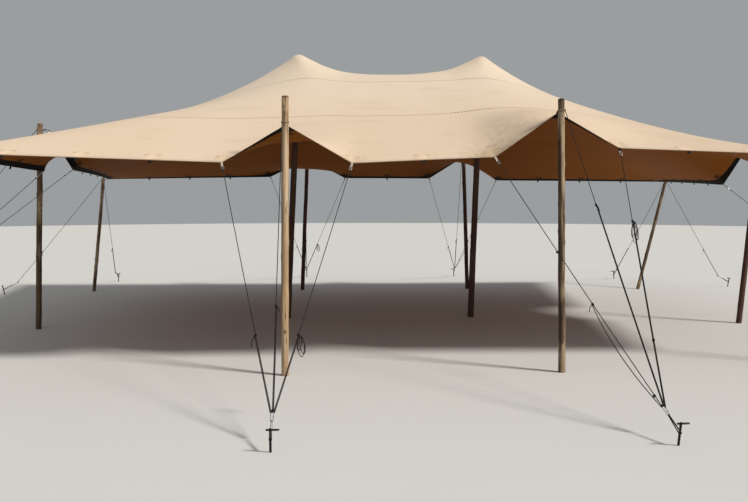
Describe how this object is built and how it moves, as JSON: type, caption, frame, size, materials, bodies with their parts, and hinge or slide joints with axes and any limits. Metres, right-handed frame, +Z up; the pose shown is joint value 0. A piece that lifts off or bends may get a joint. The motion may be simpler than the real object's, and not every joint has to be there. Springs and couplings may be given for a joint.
{
  "type": "stretch tent",
  "caption": "Open-sided stretch tent: one elastic sand-coloured sheet over two centre poles, pulled out by guy ropes at edge poles and corner poles.",
  "frame": {"origin": "on the ground under the middle of the tent, at the centre of the box that its stakes span", "axes": "+X along the sheet's long side, to the right seen from the front; +Y to the back; +Z up"},
  "size_m": [14.62, 11.92, 3.907],
  "materials": {
    "canopy_fabric": "sand-coloured coated stretch fabric, matt, brown and translucent from below",
    "hem_tape": "black woven tape, matt",
    "pale_pole_wood": "peeled round wood with knots and dark streaks, bare",
    "dark_pole_wood": "peeled round wood, weathered brown, bare",
    "pole_cap": "dark moulded rubber, matt",
    "guy_rope": "black braided rope with webbing loops, matt",
    "stake_steel": "black steel, dull and scuffed"
  },
  "bodies": {
    "root": {"canopy_panel_1": "canopy_fabric", "canopy_panel_2": "canopy_fabric", "canopy_panel_3": "canopy_fabric", "canopy_panel_4": "canopy_fabric", "canopy_panel_5": "canopy_fabric", "hem_band": "hem_tape", "pole_front_left": "pale_pole_wood", "pole_front_right": "pale_pole_wood", "pole_back_left": "dark_pole_wood", "pole_back_right": "dark_pole_wood", "pole_side_left": "dark_pole_wood", "pole_side_right": "dark_pole_wood", "pole_centre_left": "dark_pole_wood", "pole_centre_right": "dark_pole_wood", "pole_corner_front_left": "dark_pole_wood", "pole_corner_front_right": "dark_pole_wood", "pole_corner_back_left": "dark_pole_wood", "pole_corner_back_right": "dark_pole_wood", "pole_cap_left": "pole_cap", "pole_cap_right": "pole_cap", "guy_front_left": "guy_rope", "guy_front_right": "guy_rope", "guy_back_left": "guy_rope", "guy_back_right": "guy_rope", "guy_side_left": "guy_rope", "guy_side_right": "guy_rope", "guy_corner_front_left": "guy_rope", "guy_corner_front_right": "guy_rope", "guy_corner_back_left": "guy_rope", "guy_corner_back_right": "guy_rope", "stake_front_left": "stake_steel", "stake_front_right": "stake_steel", "stake_back_left": "stake_steel", "stake_back_right": "stake_steel", "stake_side_left": "stake_steel", "stake_side_right": "stake_steel", "stake_corner_front_left_out": "stake_steel", "stake_corner_front_left_end": "stake_steel", "stake_corner_front_right_out": "stake_steel", "stake_corner_front_right_end": "stake_steel", "stake_corner_back_left_out": "stake_steel", "stake_corner_back_left_end": "stake_steel", "stake_corner_back_right_out": "stake_steel", "stake_corner_back_right_end": "stake_steel"}
  },
  "joints": []
}
